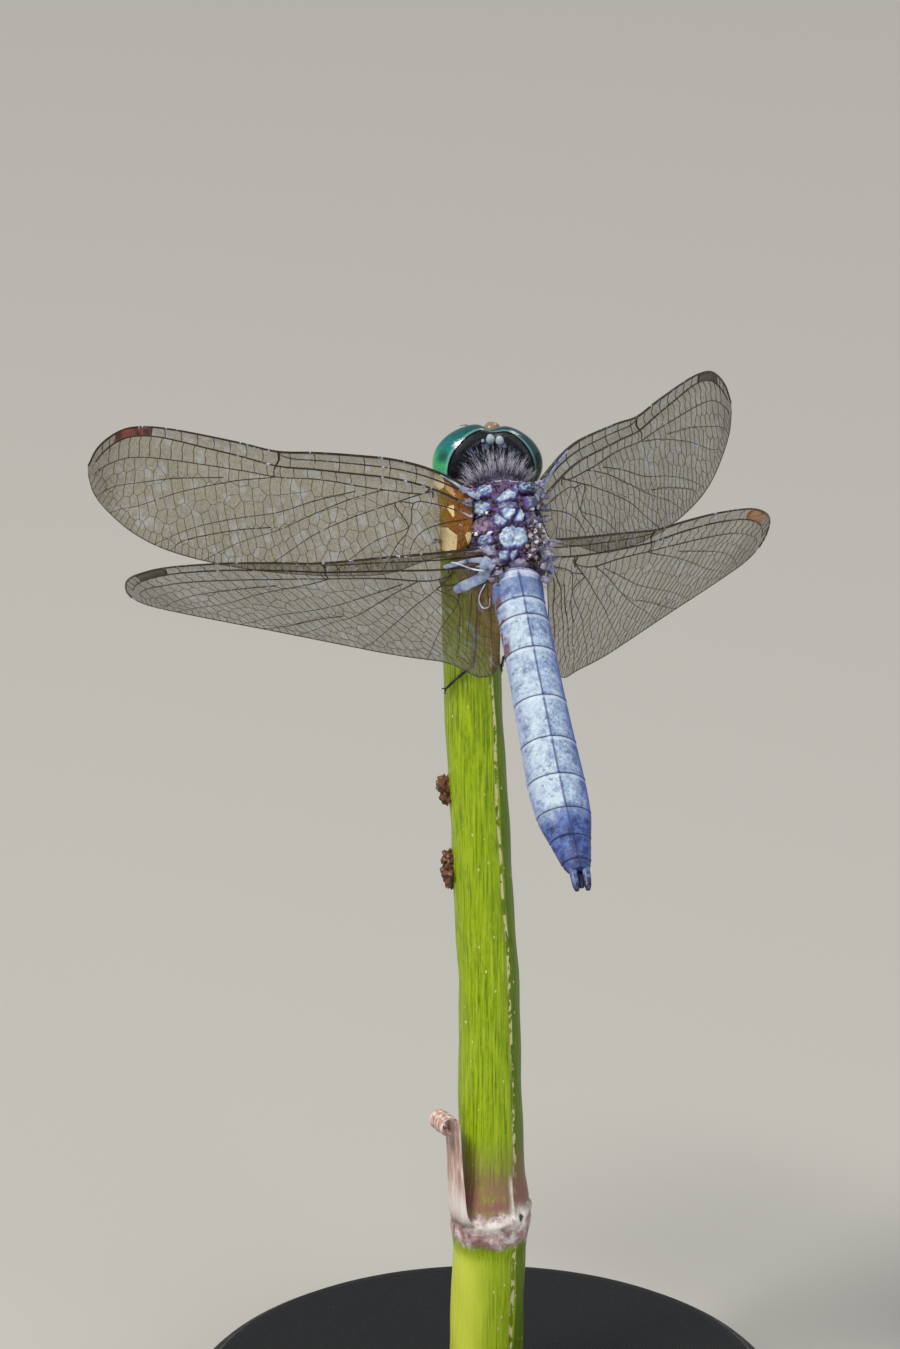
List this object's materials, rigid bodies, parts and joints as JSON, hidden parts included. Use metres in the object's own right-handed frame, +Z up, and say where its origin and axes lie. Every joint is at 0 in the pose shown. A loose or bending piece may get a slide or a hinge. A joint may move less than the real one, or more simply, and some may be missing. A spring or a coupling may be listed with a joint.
{
  "type": "blue dasher dragonfly on a display stand",
  "caption": "Life-size male blue dasher dragonfly, wings swept forward and down, gripping a cut length of plant stem that a small round stand holds upright.",
  "frame": {"origin": "centre of the flat underside of the stand's round base", "axes": "+Z up along the stand and stem, +Y the way the dragonfly faces, +X to the dragonfly's right"},
  "size_m": [0.0407, 0.0475, 0.0681],
  "materials": {
    "compound_eye": "glossy compound eye, teal above and bright green at the side",
    "pale_face": "smooth ivory face with a metallic blue vertex",
    "thorax_shell": "lilac and pale blue wax bloom over dark shell, short hair",
    "abdomen_blue": "powder-blue wax bloom with dark joint and ridge lines",
    "abdomen_slate": "dark slate-blue shell with thin bloom",
    "black_shell": "smooth black shell",
    "wing_membrane": "clear membrane with a brown net of veins, amber at the base",
    "stem_green": "fresh plant stem, finely ribbed",
    "stem_node": "pink and white joint of the stem",
    "leaf_scale": "dry papery leaf scale",
    "stand_base": "satin black",
    "stand_rod": "satin steel"
  },
  "bodies": {
    "root": {"thorax": "thorax_shell", "prothorax": "thorax_shell", "abdomen_s1": "abdomen_blue", "abdomen_s2": "abdomen_blue", "abdomen_s3": "abdomen_blue", "abdomen_s4": "abdomen_blue", "abdomen_s5": "abdomen_blue", "abdomen_s6": "abdomen_blue", "abdomen_s7": "abdomen_blue", "abdomen_s8": "abdomen_slate", "abdomen_s9": "abdomen_slate", "abdomen_s10": "abdomen_slate", "cercus_left": "black_shell", "cercus_right": "black_shell", "epiproct": "black_shell", "eye_left": "compound_eye", "eye_right": "compound_eye", "head_capsule": "black_shell", "face": "pale_face", "antenna_left": "black_shell", "antenna_right": "black_shell", "leg_fore_left_femur": "black_shell", "leg_fore_left_tibia": "black_shell", "leg_fore_left_tarsus": "black_shell", "leg_fore_right_femur": "black_shell", "leg_fore_right_tibia": "black_shell", "leg_fore_right_tarsus": "black_shell", "leg_mid_left_femur": "black_shell", "leg_mid_left_tibia": "black_shell", "leg_mid_left_tarsus": "black_shell", "leg_mid_right_femur": "black_shell", "leg_mid_right_tibia": "black_shell", "leg_mid_right_tarsus": "black_shell", "leg_hind_left_femur": "black_shell", "leg_hind_left_tibia": "black_shell", "leg_hind_left_tarsus": "black_shell", "leg_hind_right_femur": "black_shell", "leg_hind_right_tibia": "black_shell", "leg_hind_right_tarsus": "black_shell", "fore_wing_left": "wing_membrane", "fore_wing_right": "wing_membrane", "hind_wing_left": "wing_membrane", "hind_wing_right": "wing_membrane", "perch_lower": "stem_green", "perch_node": "stem_node", "perch_upper": "stem_green", "perch_sheath": "leaf_scale", "stand_base": "stand_base", "stand_rod": "stand_rod"}
  },
  "joints": []
}
